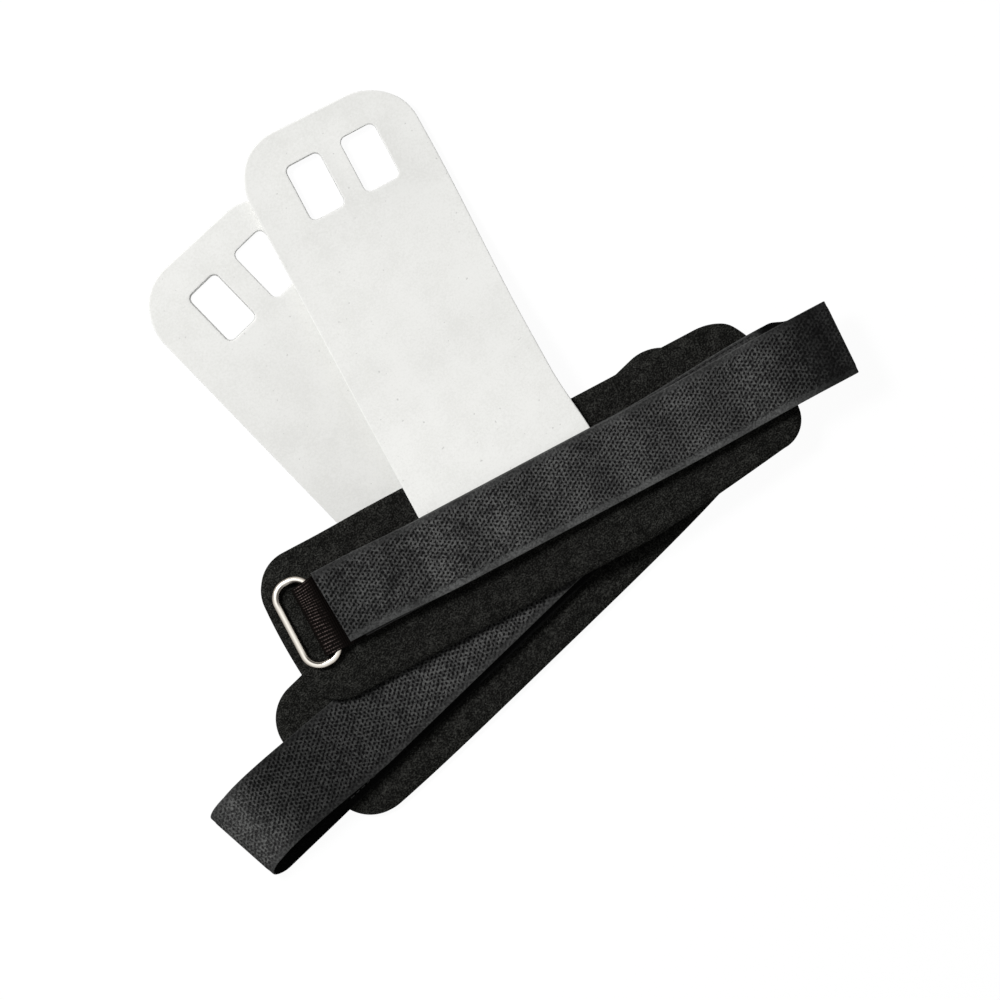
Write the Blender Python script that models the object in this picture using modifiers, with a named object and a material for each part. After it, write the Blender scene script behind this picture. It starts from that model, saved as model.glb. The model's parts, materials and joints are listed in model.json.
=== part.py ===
"""A pair of palm grips, one lying across the other. Each has a suede palm with two finger holes, a
padded wrist strap of hook-and-loop tape, and a wire ring held in a webbing keeper. Metres, +Z up.

Each grip is drawn in its own frame: x runs along the strap from ring to fold, y towards the fingers
and z up from the pad's underside, with the origin under the middle of the pad. The lower grip is the
mirror image of the upper one."""

import math
from dataclasses import dataclass

import bmesh
import bpy
from mathutils import Vector

# Clearance between pieces that lie on each other
LAYER_GAP = 0.00025

# Wrist pad: foam core between a knit lining and a napped knit face
PAD_LENGTH = 0.210
PAD_WIDTH = 0.0605
PAD_RING_END_R = 0.0145
PAD_DRAW_LENGTH = 0.050
LINING_T = 0.0005
CORE_T = 0.0024
FACE_T = 0.0005

# Palm leather
LEATHER_T = 0.0018
LEATHER_WRIST_W = 0.0725
LEATHER_FINGER_W = 0.0707
LEATHER_CORNER_R = 0.020
LEATHER_TUCK = 0.011
LEATHER_SHIFT = -0.0030

# Finger holes
HOLE_WIDTH = 0.0145
HOLE_LENGTH = 0.0222
HOLE_CORNER_R = 0.0035
HOLE_SPACING = 0.0236
HOLE_SHIFT = -0.0038
HOLE_MARGIN = 0.0132

# Hook-and-loop strap
STRAP_WIDTH = 0.030
STRAP_T = 0.0010
STRAP_PAST_PAD = 0.002
TAIL_END_INSET = 0.0213
RAMP_LENGTH = 0.007
RAMP_CLEARANCE = 0.001
TAIL_BOW_LENGTH = 0.056
TAIL_BOW_LEAD = 0.0025
HOOK_WIDTH = 0.025
HOOK_LENGTH = 0.050
HOOK_INSET = 0.0015
HOOK_T = 0.0007

# Wire ring, lying on the pad with one leg in the keeper
WIRE_D = 0.0024
RING_LENGTH = 0.0360
RING_WIDTH = 0.0160
RING_CORNER_R = 0.0062
RING_INSET = 0.0029

# Ring keeper: webbing gathered where it goes round the wire, in a loose loop
KEEPER_T = 0.0008
KEEPER_WIDTH = 0.030
KEEPER_RUN = 0.026
KEEPER_CLOSE = 0.007
KEEPER_LOOP = 0.0043
KEEPER_SIDE_GAP = 0.0004

# Sewing thread
THREAD_D = 0.0004
SEAM_INSET = 0.0014
SEAM_MARGIN = 0.003
TACK_OFFSET = 0.009
TACK_STEP = 0.0022
TACK_SWING = 0.0016

# How the upper grip lies on the lower one
UPPER_OFFSET_X = 0.0232
UPPER_OFFSET_Y = 0.0143
UPPER_TURN = math.radians(-16.1)

# Facets
ARC_STEPS = 8
HOLE_ARC_STEPS = 4
RAMP_STEPS = 5
DRIFT_STEPS = 6
FOLD_STEPS = 12
DROP_STEPS = 10
SAG_STEPS = 8
BOW_STEPS = 10
DRAW_STEPS = 6

# Heights above the pad's underside
PAD_TOP = LINING_T + CORE_T + FACE_T + 2 * LAYER_GAP
LEATHER_BASE = PAD_TOP + LAYER_GAP
LEATHER_TOP = LEATHER_BASE + LEATHER_T
LOWER_PLY = PAD_TOP + LAYER_GAP + KEEPER_T / 2
UPPER_PLY = LOWER_PLY + KEEPER_T + LAYER_GAP
KEEPER_TOP = UPPER_PLY + KEEPER_T / 2
BASE_TOP = max(LEATHER_TOP, KEEPER_TOP) + LAYER_GAP + STRAP_T
HOOK_BASE = BASE_TOP + THREAD_D + 2 * LAYER_GAP
TAIL_BASE = HOOK_BASE + HOOK_T + LAYER_GAP
TAIL_MIDDLE = TAIL_BASE + STRAP_T / 2
TAIL_TOP = TAIL_BASE + STRAP_T
STRAP_ON_PAD = PAD_TOP + LAYER_GAP + STRAP_T / 2

# Ring and keeper places along the strap
RING_REACH = RING_WIDTH - WIRE_D
KEEPER_BEND_R = WIRE_D / 2 + LAYER_GAP + KEEPER_T / 2
RING_AXIS_X = -PAD_LENGTH / 2 + RING_INSET + WIRE_D / 2 + RING_REACH
RING_AXIS_Z = LOWER_PLY + KEEPER_BEND_R
RING_TILT = math.asin((RING_AXIS_Z - PAD_TOP - LAYER_GAP - WIRE_D / 2) / RING_REACH)
KEEPER_END_X = RING_AXIS_X + KEEPER_RUN
TACK_X = RING_AXIS_X + TACK_OFFSET
BASE_START_X = TACK_X + TACK_SWING / 2 + THREAD_D + LAYER_GAP
BASE_END_X = PAD_LENGTH / 2 + STRAP_PAST_PAD
TAIL_END_X = -PAD_LENGTH / 2 + TAIL_END_INSET
LEATHER_LOW_X = LEATHER_SHIFT - LEATHER_WRIST_W / 2
LEATHER_HIGH_X = LEATHER_SHIFT + LEATHER_WRIST_W / 2
DRIFT_START_X = LEATHER_HIGH_X + RAMP_CLEARANCE + RAMP_LENGTH


@dataclass
class Grip:
    """What differs between the two grips. side is 1, or -1 for the mirror image. The pad's fold end has
    corners of pad_fold_r and is drawn in by pad_draw on the wrist side. The shifts move the ring and the
    strap's base and tail from the pad's middle towards the fingers, and past the leather the base drifts
    that way by base_drift. The leather's finger edge lies at reach from there, leans sideways by lean and
    slopes by edge_slope; the leather comes to rest at rest_z over drop_length. The strap's lower run sags
    to loop_z before it folds, overhang past the pad's end. It moves over to the tail's line between
    turn_start and turn_end, as shares of its way round. tail_bow is the tail's bow towards the fingers."""

    name: str
    side: int
    pad_fold_r: float
    pad_draw: float
    ring_shift: float
    base_shift: float
    base_drift: float
    tail_shift: float
    reach: float
    lean: float
    edge_slope: float
    rest_z: float
    drop_length: float
    overhang: float
    loop_z: float
    turn_start: float
    turn_end: float
    tail_bow: float

    @property
    def fold_r(self):
        return (TAIL_MIDDLE - self.loop_z) / 2

    @property
    def fold_x(self):
        return PAD_LENGTH / 2 + self.overhang - self.fold_r - STRAP_T / 2

    @property
    def fold_z(self):
        return (TAIL_MIDDLE + self.loop_z) / 2


UPPER_PAD_Z = TAIL_TOP + LAYER_GAP

LOWER = Grip(
    name="lower",
    side=-1,
    pad_fold_r=0.0160,
    pad_draw=0.0,
    ring_shift=-0.0022,
    base_shift=-0.0022,
    base_drift=0.0,
    tail_shift=0.0005,
    reach=0.1747,
    lean=0.0009,
    edge_slope=0.025,
    rest_z=LAYER_GAP,
    drop_length=0.026,
    overhang=0.0377,
    loop_z=LAYER_GAP + STRAP_T / 2,
    turn_start=0.35,
    turn_end=1.0,
    tail_bow=0.0022,
)
UPPER = Grip(
    name="upper",
    side=1,
    pad_fold_r=0.0210,
    pad_draw=0.0050,
    ring_shift=0.0026,
    base_shift=0.0026,
    base_drift=0.0024,
    tail_shift=0.0027,
    reach=0.1700,
    lean=-0.0022,
    edge_slope=-0.022,
    rest_z=LOWER.rest_z + LEATHER_T + LAYER_GAP - UPPER_PAD_Z,
    drop_length=0.100,
    overhang=0.027,
    loop_z=STRAP_ON_PAD,
    turn_start=0.05,
    turn_end=0.25,
    tail_bow=0.0,
)


def smoothstep(t):
    t = min(max(t, 0.0), 1.0)
    return t * t * (3 - 2 * t)


def arc(centre, radius, start, end, steps):
    """Points of an arc from angle start to end, in degrees."""
    angles = [math.radians(start + (end - start) * k / steps) for k in range(steps + 1)]
    return [(centre[0] + radius * math.cos(a), centre[1] + radius * math.sin(a)) for a in angles]


def round_rectangle(low, high, radius, steps):
    """Outline with four round corners, anticlockwise from the lower right."""
    inner_low = (low[0] + radius, low[1] + radius)
    inner_high = (high[0] - radius, high[1] - radius)
    return [
        *arc((inner_high[0], inner_low[1]), radius, -90, 0, steps),
        *arc(inner_high, radius, 0, 90, steps),
        *arc((inner_low[0], inner_high[1]), radius, 90, 180, steps),
        *arc(inner_low, radius, 180, 270, steps),
    ]


def finish(name, colour, roughness, metallic=0.0):
    """A plain surface for one kind of piece."""
    material = bpy.data.materials.new(name)
    material.use_nodes = True
    shader = material.node_tree.nodes["Principled BSDF"]
    shader.inputs["Base Color"].default_value = (*colour, 1.0)
    shader.inputs["Roughness"].default_value = roughness
    shader.inputs["Metallic"].default_value = metallic
    return material


def add_object(name, data, material, parent):
    obj = bpy.data.objects.new(name, data)
    PARTS.objects.link(obj)
    obj.parent = parent
    if material:
        data.materials.append(material)
    return obj


def add_empty(name, parent, location=(0, 0, 0)):
    empty = add_object(name, None, None, parent)
    empty.location = location
    return empty


def curve_data(name, loops, cyclic):
    """A curve of straight-sided loops, each a list of 2D or 3D points."""
    curve = bpy.data.curves.new(name, "CURVE")
    for points in loops:
        spline = curve.splines.new("POLY")
        spline.points.add(len(points) - 1)
        for place, point in zip(spline.points, points):
            place.co = (*Vector(point).to_3d(), 1.0)
        spline.use_cyclic_u = cyclic
    return curve


def plate(name, loops, thickness, bottom, material, parent):
    """A flat sheet: the first loop is its outline and the others are holes."""
    curve = curve_data(name, loops, cyclic=True)
    curve.dimensions = "2D"
    curve.fill_mode = "BOTH"
    curve.extrude = thickness / 2
    obj = add_object(name, curve, material, parent)
    obj.location.z = bottom + thickness / 2
    return obj


def wire(name, points, diameter, cyclic, material, parent):
    """A round wire or thread along a path."""
    curve = curve_data(name, [points], cyclic)
    curve.dimensions = "3D"
    curve.fill_mode = "FULL"
    curve.bevel_depth = diameter / 2
    curve.bevel_resolution = 2
    curve.use_fill_caps = not cyclic
    return add_object(name, curve, material, parent)


def ribbon(name, side, path, widths, thickness, material, parent):
    """A tape along a path of middle points: a grid one face wide, with Solidify."""
    last = len(path) - 1
    bm = bmesh.new()
    bmesh.ops.create_grid(bm, x_segments=last, y_segments=1, size=1.0)
    for vert in bm.verts:
        station = round((vert.co.x + 1) / 2 * last)
        x, y, z = path[station]
        vert.co = (side * x, y + math.copysign(widths[station] / 2, vert.co.y), z)
    mesh = bpy.data.meshes.new(name)
    bm.to_mesh(mesh)
    bm.free()
    obj = add_object(name, mesh, material, parent)
    solid = obj.modifiers.new("thickness", "SOLIDIFY")
    solid.thickness = thickness
    solid.offset = 0
    solid.use_even_offset = True
    return obj


def slab(name, low, high, material, parent):
    """A straight-sided block between two corners."""
    size = Vector(high) - Vector(low)
    bm = bmesh.new()
    bmesh.ops.create_cube(bm, size=1.0)
    bmesh.ops.scale(bm, vec=[abs(length) for length in size], verts=bm.verts)
    bmesh.ops.translate(bm, vec=(Vector(low) + Vector(high)) / 2, verts=bm.verts)
    mesh = bpy.data.meshes.new(name)
    bm.to_mesh(mesh)
    bm.free()
    return add_object(name, mesh, material, parent)


def pad_outline(grip):
    """Round corners, and a wrist-side edge that is drawn in near the fold end."""
    half = (PAD_LENGTH / 2, PAD_WIDTH / 2)
    fold_r = grip.pad_fold_r
    ring_x = PAD_RING_END_R - half[0]
    ring_y = half[1] - PAD_RING_END_R
    fold_x = half[0] - fold_r
    points = []
    for k in range(DRAW_STEPS):
        share = k / DRAW_STEPS
        x = fold_x - PAD_DRAW_LENGTH * (1 - share)
        points.append((x, grip.pad_draw * smoothstep(share) - half[1]))
    points += arc((fold_x, fold_r + grip.pad_draw - half[1]), fold_r, -90, 0, ARC_STEPS)
    points += arc((fold_x, half[1] - fold_r), fold_r, 0, 90, ARC_STEPS)
    points += arc((ring_x, ring_y), PAD_RING_END_R, 90, 180, ARC_STEPS)
    points += arc((ring_x, -ring_y), PAD_RING_END_R, 180, 270, ARC_STEPS)
    return [(grip.side * x, y) for x, y in points]


def wrist_pad(grip, parent):
    """Lining, foam core and face, cut to one outline."""
    outline = pad_outline(grip)
    layers = (("pad_lining", LINING_T), ("pad_core", CORE_T), ("pad_face", FACE_T))
    bottom = 0.0
    for piece, thickness in layers:
        plate(f"{grip.name}_{piece}", [outline], thickness, bottom, FINISHES[piece], parent)
        bottom += thickness + LAYER_GAP


def leather_outline(grip):
    """Square end under the strap, sides that lean and draw in a little, and round finger corners."""
    wrist = LEATHER_WRIST_W / 2
    finger = LEATHER_FINGER_W / 2
    corner_x = finger - LEATHER_CORNER_R
    corner_y = grip.reach - LEATHER_CORNER_R
    points = [
        (-wrist, -LEATHER_TUCK),
        (wrist, -LEATHER_TUCK),
        *arc((corner_x, corner_y), LEATHER_CORNER_R, 0, 90, ARC_STEPS),
        *arc((-corner_x, corner_y), LEATHER_CORNER_R, 90, 180, ARC_STEPS),
    ]
    outline = []
    for x, y in points:
        share = max(y, 0) / grip.reach
        across = x + LEATHER_SHIFT + grip.lean * share
        outline.append((grip.side * across, y + grip.edge_slope * x * share))
    return outline


def finger_holes(grip):
    top = grip.reach - HOLE_MARGIN
    holes = []
    for offset in (-HOLE_SPACING / 2, HOLE_SPACING / 2):
        middle = grip.side * (HOLE_SHIFT + offset)
        low = (middle - HOLE_WIDTH / 2, top - HOLE_LENGTH)
        high = (middle + HOLE_WIDTH / 2, top)
        holes.append(round_rectangle(low, high, HOLE_CORNER_R, HOLE_ARC_STEPS))
    return holes


def palm_leather(grip, parent):
    """The flat cut, then bent down from the pad's edge to what the palm rests on."""
    name = f"{grip.name}_palm_leather"
    loops = [leather_outline(grip), *finger_holes(grip)]
    flat = plate(name, loops, LEATHER_T, LEATHER_BASE, None, None)
    graph = bpy.context.evaluated_depsgraph_get()
    mesh = bpy.data.meshes.new_from_object(flat.evaluated_get(graph))
    base = flat.location.z
    bpy.data.objects.remove(flat, do_unlink=True)

    start = PAD_WIDTH / 2 + LAYER_GAP
    drop = LEATHER_BASE - grip.rest_z
    bm = bmesh.new()
    bm.from_mesh(mesh)
    bmesh.ops.remove_doubles(bm, verts=bm.verts, dist=LAYER_GAP / 10)
    for k in range(DROP_STEPS + 1):
        cut = (0, start + grip.drop_length * k / DROP_STEPS, 0)
        geometry = [*bm.verts, *bm.edges, *bm.faces]
        bmesh.ops.bisect_plane(bm, geom=geometry, plane_co=cut, plane_no=(0, 1, 0))
    for vert in bm.verts:
        vert.co.z += base - drop * smoothstep((vert.co.y - start) / grip.drop_length)
    bmesh.ops.recalc_face_normals(bm, faces=bm.faces)
    bm.to_mesh(mesh)
    bm.free()
    add_object(name, mesh, FINISHES["palm_leather"], parent)


def base_height(x):
    """Middle of the strap's base: on the pad, and over the keeper's end and the leather."""
    over_keeper = (KEEPER_TOP - PAD_TOP) * ramp_share(x - KEEPER_END_X)
    outside_leather = max(LEATHER_LOW_X - x, x - LEATHER_HIGH_X)
    over_leather = (LEATHER_TOP - PAD_TOP) * ramp_share(outside_leather)
    return STRAP_ON_PAD + max(over_keeper, over_leather)


def ramp_share(outside):
    """1 over a raised piece and 0 a ramp's length past its edge."""
    return smoothstep(1 - (outside - RAMP_CLEARANCE) / RAMP_LENGTH)


def base_line(grip, x):
    """Middle of the strap's base across the pad."""
    return grip.base_shift + grip.base_drift * smoothstep((x - DRIFT_START_X) / (BASE_END_X - DRIFT_START_X))


def base_stations(start, end):
    """Places along the base: its ends, the steps of each ramp and those of the drift."""
    stations = {start, end}
    for k in range(1, DRIFT_STEPS):
        stations.add(round(DRIFT_START_X + (BASE_END_X - DRIFT_START_X) * k / DRIFT_STEPS, 5))
    for edge, way in ((KEEPER_END_X, 1), (LEATHER_LOW_X, -1), (LEATHER_HIGH_X, 1)):
        for k in range(RAMP_STEPS + 1):
            x = edge + way * (RAMP_CLEARANCE + RAMP_LENGTH * k / RAMP_STEPS)
            if start + LAYER_GAP < x < end - LAYER_GAP:
                stations.add(round(x, 5))
    return sorted(stations)


def strap_base(grip, parent):
    stations = base_stations(BASE_START_X, BASE_END_X)
    path = [(x, base_line(grip, x), base_height(x)) for x in stations]
    widths = [STRAP_WIDTH] * len(path)
    name = f"{grip.name}_strap_base"
    ribbon(name, grip.side, path, widths, STRAP_T, FINISHES["strap"], parent)


def tail_line(grip, back):
    """Middle of the tail across the pad, at a length back from the fold's axis. Its bow starts a lead
    before that, in the fold, and is fullest a quarter of the way along."""
    share = (back + TAIL_BOW_LEAD) / (TAIL_BOW_LENGTH + TAIL_BOW_LEAD)
    return grip.tail_shift + grip.tail_bow * math.sin(math.pi * math.sqrt(min(share, 1.0)))


def strap_fold(grip, parent):
    """The run past the pad, which sags to loop_z, and the half turn back to the tail."""
    start = BASE_END_X + LAYER_GAP
    run = grip.fold_x - start
    from_y = base_line(grip, BASE_END_X)
    to_y = tail_line(grip, 0.0)
    path = []
    for k in range(SAG_STEPS):
        sag = smoothstep(k / SAG_STEPS)
        z = STRAP_ON_PAD + (grip.loop_z - STRAP_ON_PAD) * sag
        path.append((start + run * k / SAG_STEPS, z))
    path += arc((grip.fold_x, grip.fold_z), grip.fold_r, -90, 90, FOLD_STEPS)
    middle = []
    for k, (x, z) in enumerate(path):
        share = k / (SAG_STEPS + FOLD_STEPS)
        turned = smoothstep((share - grip.turn_start) / (grip.turn_end - grip.turn_start))
        middle.append((x, from_y + (to_y - from_y) * turned, z))
    widths = [STRAP_WIDTH] * len(middle)
    name = f"{grip.name}_strap_fold"
    ribbon(name, grip.side, middle, widths, STRAP_T, FINISHES["strap"], parent)


def strap_tail(grip, pivot):
    """The tail and its hook patch, drawn from the fold's axis."""
    length = grip.fold_x - TAIL_END_X
    path = []
    for k in range(BOW_STEPS + 1):
        along = LAYER_GAP + (TAIL_BOW_LENGTH - LAYER_GAP) * k / BOW_STEPS
        path.append((-along, tail_line(grip, along), TAIL_MIDDLE - grip.fold_z))
    path.append((-length, tail_line(grip, length), TAIL_MIDDLE - grip.fold_z))
    widths = [STRAP_WIDTH] * len(path)
    ribbon(f"{grip.name}_strap_tail", grip.side, path, widths, STRAP_T, FINISHES["strap"], pivot)

    hook_end = length - HOOK_INSET
    hook_low = HOOK_BASE - grip.fold_z
    near = (grip.side * (HOOK_LENGTH - hook_end), grip.tail_shift - HOOK_WIDTH / 2, hook_low)
    far = (grip.side * -hook_end, grip.tail_shift + HOOK_WIDTH / 2, hook_low + HOOK_T)
    slab(f"{grip.name}_hook_patch", near, far, FINISHES["hook_patch"], pivot)


def wire_ring(grip, pivot):
    """Oval ring drawn from the axis of the leg that the keeper holds, tipped down to the pad."""
    half = (RING_LENGTH - WIRE_D) / 2
    outline = round_rectangle((-RING_REACH, -half), (0, half), RING_CORNER_R, ARC_STEPS)
    points = [(grip.side * x, y + grip.ring_shift, 0) for x, y in outline]
    ring = wire(f"{grip.name}_wire_ring", points, WIRE_D, True, FINISHES["wire_ring"], pivot)
    ring.rotation_euler.y = -grip.side * RING_TILT


def ring_keeper(grip, parent):
    """Lower ply, a loose loop round the wire, and the upper ply that closes down behind it."""
    top = RING_AXIS_Z + KEEPER_BEND_R
    path = [(x, LOWER_PLY) for x in (KEEPER_END_X, RING_AXIS_X + KEEPER_CLOSE, RING_AXIS_X + WIRE_D)]
    path += arc((RING_AXIS_X - KEEPER_LOOP, RING_AXIS_Z), KEEPER_BEND_R, 270, 90, FOLD_STEPS)
    for k in range(RAMP_STEPS + 1):
        closed = k / RAMP_STEPS
        path.append((RING_AXIS_X + KEEPER_CLOSE * closed, top - (top - UPPER_PLY) * smoothstep(closed)))
    path.append((KEEPER_END_X, UPPER_PLY))

    gathered = RING_LENGTH - WIRE_D - 2 * (RING_CORNER_R + KEEPER_SIDE_GAP)
    widths = []
    for x, _ in path:
        spread = smoothstep((x - RING_AXIS_X - WIRE_D) / (KEEPER_CLOSE - WIRE_D))
        widths.append(gathered + (KEEPER_WIDTH - gathered) * spread)
    middle = [(x, grip.ring_shift, z) for x, z in path]
    name = f"{grip.name}_ring_keeper"
    ribbon(name, grip.side, middle, widths, KEEPER_T, FINISHES["ring_keeper"], parent)


def seams(grip, parent):
    """A row of thread along each edge of the strap's base."""
    rise = STRAP_T / 2 + LAYER_GAP + THREAD_D / 2
    stations = base_stations(BASE_START_X + SEAM_MARGIN, PAD_LENGTH / 2 - SEAM_MARGIN)
    offset = STRAP_WIDTH / 2 - SEAM_INSET
    for row, way in (("finger_seam", 1), ("wrist_seam", -1)):
        points = []
        for x in stations:
            points.append((grip.side * x, base_line(grip, x) + way * offset, base_height(x) + rise))
        wire(f"{grip.name}_{row}", points, THREAD_D, False, FINISHES["thread"], parent)


def keeper_tack(grip, parent):
    """A zigzag of thread across the keeper, behind the ring."""
    steps = int((KEEPER_WIDTH - 2 * SEAM_INSET) / TACK_STEP)
    z = KEEPER_TOP + LAYER_GAP + THREAD_D / 2
    points = []
    for k in range(steps + 1):
        x = TACK_X + TACK_SWING / 2 * (-1) ** k
        y = grip.ring_shift + TACK_STEP * (k - steps / 2)
        points.append((grip.side * x, y, z))
    wire(f"{grip.name}_keeper_tack", points, THREAD_D, False, FINISHES["thread"], parent)


def palm_grip(grip, origin):
    """One whole grip under its own empty, with an empty on each joint's axis."""
    frame = add_empty(f"{grip.name}_grip", origin)
    fold_axis = add_empty(f"{grip.name}_fold_axis", frame, (grip.side * grip.fold_x, 0, grip.fold_z))
    ring_axis = add_empty(f"{grip.name}_ring_axis", frame, (grip.side * RING_AXIS_X, 0, RING_AXIS_Z))
    wrist_pad(grip, frame)
    palm_leather(grip, frame)
    ring_keeper(grip, frame)
    keeper_tack(grip, frame)
    wire_ring(grip, ring_axis)
    strap_base(grip, frame)
    seams(grip, frame)
    strap_fold(grip, frame)
    strap_tail(grip, fold_axis)
    return frame


def stand_on_origin(origin):
    """Moves the pair so that the origin is under the middle of its box."""
    bpy.context.view_layer.update()
    graph = bpy.context.evaluated_depsgraph_get()
    points = []
    for obj in PARTS.objects:
        if obj.type != "EMPTY":
            solid = obj.evaluated_get(graph)
            points += [solid.matrix_world @ vert.co for vert in solid.to_mesh().vertices]
            solid.to_mesh_clear()
    low = Vector(map(min, *points))
    high = Vector(map(max, *points))
    origin.location = (-(low.x + high.x) / 2, -(low.y + high.y) / 2, -low.z)


for old in list(bpy.data.objects):
    bpy.data.objects.remove(old, do_unlink=True)
PARTS = bpy.data.collections.new("hand_grips")
bpy.context.scene.collection.children.link(PARTS)

FINISHES = {
    "palm_leather": finish("white_suede", (0.82, 0.82, 0.80), 0.9),
    "pad_face": finish("napped_knit", (0.016, 0.016, 0.014), 0.95),
    "pad_core": finish("foam_rubber", (0.012, 0.012, 0.012), 0.9),
    "pad_lining": finish("lining_knit", (0.014, 0.014, 0.013), 0.9),
    "strap": finish("loop_tape", (0.035, 0.035, 0.036), 0.85),
    "hook_patch": finish("hook_tape", (0.012, 0.012, 0.012), 0.6),
    "ring_keeper": finish("ribbed_webbing", (0.013, 0.010, 0.009), 0.8),
    "wire_ring": finish("nickel_wire", (0.80, 0.78, 0.74), 0.12, 1.0),
    "thread": finish("sewing_thread", (0.010, 0.010, 0.010), 0.6),
}

pair = add_empty("pair_origin", None)
palm_grip(LOWER, pair)
upper_frame = palm_grip(UPPER, pair)
upper_frame.location = (UPPER_OFFSET_X, UPPER_OFFSET_Y, UPPER_PAD_Z)
upper_frame.rotation_euler.z = UPPER_TURN
stand_on_origin(pair)
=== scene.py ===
import json
import math

import bmesh
import bpy
import numpy as np
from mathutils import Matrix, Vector


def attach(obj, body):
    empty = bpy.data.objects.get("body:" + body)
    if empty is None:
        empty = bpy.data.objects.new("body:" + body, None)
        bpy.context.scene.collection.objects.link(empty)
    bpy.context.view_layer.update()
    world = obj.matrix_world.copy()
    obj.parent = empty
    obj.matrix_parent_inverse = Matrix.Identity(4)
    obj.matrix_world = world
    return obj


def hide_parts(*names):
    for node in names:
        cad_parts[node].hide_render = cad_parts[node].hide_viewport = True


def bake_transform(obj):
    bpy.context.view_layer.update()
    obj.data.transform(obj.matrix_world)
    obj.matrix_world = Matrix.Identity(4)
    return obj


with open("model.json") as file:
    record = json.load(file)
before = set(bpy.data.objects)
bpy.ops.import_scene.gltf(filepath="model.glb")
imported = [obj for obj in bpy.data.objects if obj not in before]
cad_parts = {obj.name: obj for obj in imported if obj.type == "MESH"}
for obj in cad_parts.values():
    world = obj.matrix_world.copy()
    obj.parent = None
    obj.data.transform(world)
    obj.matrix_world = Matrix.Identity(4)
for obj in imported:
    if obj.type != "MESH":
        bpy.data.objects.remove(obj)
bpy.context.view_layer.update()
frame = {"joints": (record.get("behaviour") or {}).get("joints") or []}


# The table and the light. The pair lies on a white table in a dim white room, with one broad soft lamp high
# up on the fingers' side. The camera looks straight down through a long lens, turned so that the straps rise
# to the right.
VIEW_MIDDLE = (0.0105, -0.0494)
VIEW_WIDTH = 0.3745
VIEW_HEIGHT = 2.0
VIEW_TURN = math.radians(-44.03)
ROOM_LIGHT = 0.20
LAMP_POWER = 13.9
LAMP_SIZE = 0.34
LAMP_PLACE = (-0.24, 0.65, 0.99)
TABLE_REACH = 3.0


class Value:
    """A socket of a node tree. An operator between values, or a value and a number, adds its Math node, and
    node() adds any other node: first its settings, then its sockets, by name or number."""

    def __init__(self, tree, socket=None):
        self.tree = tree
        self.socket = socket

    def node(self, kind, settings=(), sockets=(), output=0):
        made = self.tree.nodes.new(kind)
        for key, setting in dict(settings).items():
            setattr(made, key, setting)
        feed(made, sockets)
        return Value(self.tree, made.outputs[output])

    def math(self, operation, *terms):
        return self.node("ShaderNodeMath", {"operation": operation}, dict(enumerate(terms)))

    def __add__(self, other):
        return self.math("ADD", self, other)

    def __radd__(self, other):
        return self.math("ADD", other, self)

    def __sub__(self, other):
        return self.math("SUBTRACT", self, other)

    def __rsub__(self, other):
        return self.math("SUBTRACT", other, self)

    def __mul__(self, other):
        return self.math("MULTIPLY", self, other)

    def __rmul__(self, other):
        return self.math("MULTIPLY", other, self)


def feed(node, sockets):
    """Links each socket that is given a value, and sets each that is given a number or a colour."""
    for key, given in dict(sockets).items():
        if isinstance(given, Value):
            node.id_data.links.new(given.socket, node.inputs[key])
        else:
            node.inputs[key].default_value = given


def background_rays(values):
    """1 for the rays that draw the background: the camera's own, and those in mirrors and clear things."""
    names = ("Is Camera Ray", "Is Glossy Ray", "Is Transmission Ray")
    camera, glossy, clear = (values.node("ShaderNodeLightPath", output=name) for name in names)
    return values.math("MAXIMUM", camera, values.math("MAXIMUM", glossy, clear))


def add_object(name, data):
    made = bpy.data.objects.new(name, data)
    bpy.context.scene.collection.objects.link(made)
    return made


bpy.context.scene.view_settings.view_transform = "Standard"

camera = add_object("camera", bpy.data.cameras.new("camera"))
camera.data.sensor_width = 36.0
camera.data.lens = camera.data.sensor_width * VIEW_HEIGHT / VIEW_WIDTH
camera.location = (*VIEW_MIDDLE, VIEW_HEIGHT)
camera.rotation_euler.z = VIEW_TURN
bpy.context.scene.camera = camera

lamp = add_object("lamp", bpy.data.lights.new("lamp", "AREA"))
lamp.data.energy = LAMP_POWER
lamp.data.size = LAMP_SIZE
lamp.location = LAMP_PLACE
lamp.rotation_euler = Vector(LAMP_PLACE).to_track_quat("Z", "Y").to_euler()

room = bpy.data.worlds.new("room")
bpy.context.scene.world = room
room.use_nodes = True
values = Value(room.node_tree)
strength = ROOM_LIGHT + (1 - ROOM_LIGHT) * background_rays(values)
feed(room.node_tree.nodes["Background"], {"Color": (1, 1, 1, 1), "Strength": strength})

white_table = bpy.data.materials.new("white_table")
white_table.use_nodes = True
white_table.node_tree.nodes.clear()
values = Value(white_table.node_tree)
plain = values.node("ShaderNodeBsdfDiffuse", (), {"Color": (0.8, 0.8, 0.8, 1)})
shadowed = values.node("ShaderNodeBsdfDiffuse", (), {"Color": (0.055, 0.055, 0.055, 1)})
glow = values.node("ShaderNodeEmission", (), {"Color": (0.96, 0.96, 0.96, 1)})
seen = values.node("ShaderNodeAddShader", (), {0: shadowed, 1: glow})
surface = values.node("ShaderNodeMixShader", (), {0: background_rays(values), 1: plain, 2: seen})
feed(white_table.node_tree.nodes.new("ShaderNodeOutputMaterial"), {"Surface": surface})

table_mesh = bpy.data.meshes.new("table")
corners = TABLE_REACH * np.array([(-1, -1, 0), (1, -1, 0), (1, 1, 0), (-1, 1, 0)])
table_mesh.from_pydata(corners.tolist(), [], [(0, 1, 2, 3)])
table_mesh.materials.append(white_table)
table = add_object("table", table_mesh)


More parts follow.
